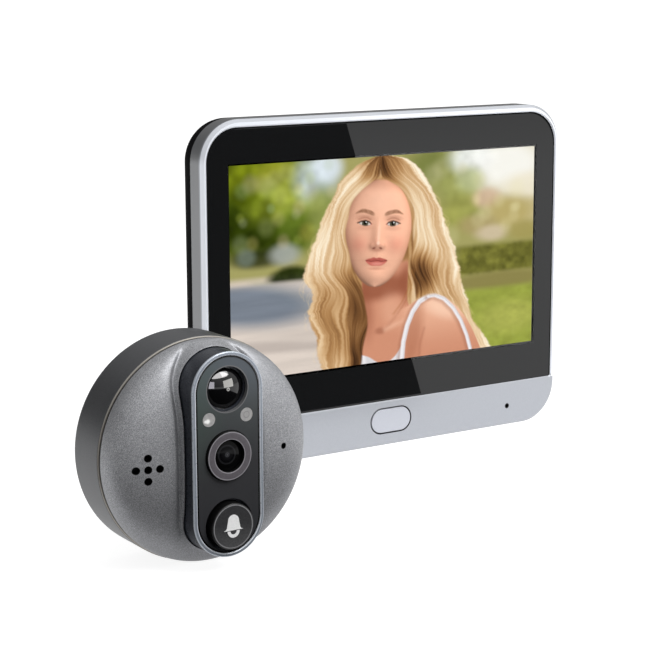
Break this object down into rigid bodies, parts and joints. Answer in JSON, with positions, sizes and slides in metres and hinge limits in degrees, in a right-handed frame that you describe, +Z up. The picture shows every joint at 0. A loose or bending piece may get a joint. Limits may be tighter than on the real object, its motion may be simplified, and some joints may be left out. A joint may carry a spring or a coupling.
{
  "type": "video doorbell with monitor",
  "caption": "Door video bell in two units: an upright indoor monitor with a home button and door bracket, and a round domed outdoor camera unit with a bell button.",
  "frame": {"origin": "centre of the flat strip of the monitor's underside that it stands on", "axes": "+X to the monitor's right as seen from the front and along the longest extent, -Y out of the display, +Z up"},
  "size_m": [0.195, 0.0993, 0.1014],
  "materials": {
    "silver_frame": "satin silver paint",
    "black_shell": "gloss black",
    "cover_glass": "polished",
    "black_adhesive": "matte",
    "display": "lit display",
    "display_metal": "matte",
    "flex_film": "amber film",
    "connector_plastic": "matte black",
    "home_button": "satin silver",
    "switch_parts": "matte",
    "circuit_board": "solder mask",
    "plated_metal": "plated",
    "black_rubber": "matte",
    "battery_wrap": "foil wrap",
    "foam": "closed-cell foam",
    "speaker_parts": "matte",
    "bracket_steel": "brushed",
    "dark_rim": "satin dark grey paint",
    "speckled_grey": "speckled metallic paint",
    "dark_island": "gloss",
    "bright_trim": "polished",
    "dark_panel": "gloss",
    "black_lens": "polished",
    "window": "frosted",
    "led_resin": "tinted resin",
    "lens_ring": "satin",
    "bell_cap": "satin",
    "white_symbol": "white",
    "barrel_metal": "brushed"
  },
  "bodies": {
    "monitor": {"monitor_front_frame": "silver_frame", "monitor_rear_cover": "black_shell", "cover_glass": "cover_glass", "glass_adhesive": "black_adhesive", "lcd_panel": "display", "backlight_unit": "display_metal", "display_flex": "flex_film", "flex_connector": "connector_plastic", "home_button_switch": "switch_parts", "button_board": "circuit_board", "indoor_microphone": "plated_metal", "microphone_boot": "black_rubber", "main_board": "circuit_board", "board_screws": "plated_metal", "processor_shield": "plated_metal", "wifi_module": "plated_metal", "indoor_ribbon_socket": "connector_plastic", "usb_port": "plated_metal", "card_slot": "plated_metal", "power_switch_body": "switch_parts", "battery": "battery_wrap", "battery_pad": "foam", "indoor_speaker": "speaker_parts", "speaker_gasket": "foam", "case_screws": "plated_metal"},
    "home_button": {"home_button": "home_button"},
    "power_switch": {"power_switch_slider": "connector_plastic"},
    "door_bracket": {"door_bracket": "bracket_steel", "bracket_pads": "foam"},
    "outdoor_unit": {"outdoor_housing": "dark_rim", "outdoor_front_cover": "speckled_grey", "housing_seal": "black_rubber", "island_housing": "dark_island", "island_trim": "bright_trim", "panel_adhesive": "black_adhesive", "lens_panel": "dark_panel", "pir_lens": "black_lens", "pir_sensor": "plated_metal", "ir_led_window": "window", "light_sensor_window": "window", "ir_led": "led_resin", "light_sensor": "switch_parts", "camera_bezel_ring": "lens_ring", "camera_lens_glass": "black_lens", "camera_barrel": "connector_plastic", "image_sensor": "switch_parts", "camera_sensor_board": "circuit_board", "sensor_board": "circuit_board", "bell_button_switch": "switch_parts", "outdoor_speaker": "speaker_parts", "outdoor_speaker_gasket": "black_rubber", "outdoor_microphone": "plated_metal", "outdoor_microphone_boot": "black_rubber", "outdoor_board": "circuit_board", "outdoor_screws": "plated_metal", "outdoor_ribbon_socket": "connector_plastic", "mount_barrel": "barrel_metal", "outdoor_back_gasket": "foam"},
    "bell_button": {"bell_button": "bell_cap", "bell_symbol": "white_symbol"}
  },
  "joints": [
    {"name": "home_press", "type": "slide", "parent": "monitor", "child": "home_button", "axis": [0, 1, 0], "range_m": [0, 0.00035], "stiffness_N_per_m": 1500, "springref_m": -0.0005},
    {"name": "power_slide", "type": "slide", "parent": "monitor", "child": "power_switch", "axis": [0, 0, 1], "range_m": [0, 0.002]},
    {"name": "bracket_unhook", "type": "slide", "parent": "monitor", "child": "door_bracket", "axis": [0, 0, -1], "range_m": [0, 0.005]},
    {"name": "outdoor_lift", "type": "slide", "parent": "monitor", "child": "outdoor_unit", "axis": [0, 0, 1], "range_m": [0, 0.05]},
    {"name": "bell_press", "type": "slide", "parent": "outdoor_unit", "child": "bell_button", "axis": [0, 1, 0], "range_m": [0, 0.0006], "stiffness_N_per_m": 1500, "springref_m": -0.0005}
  ]
}
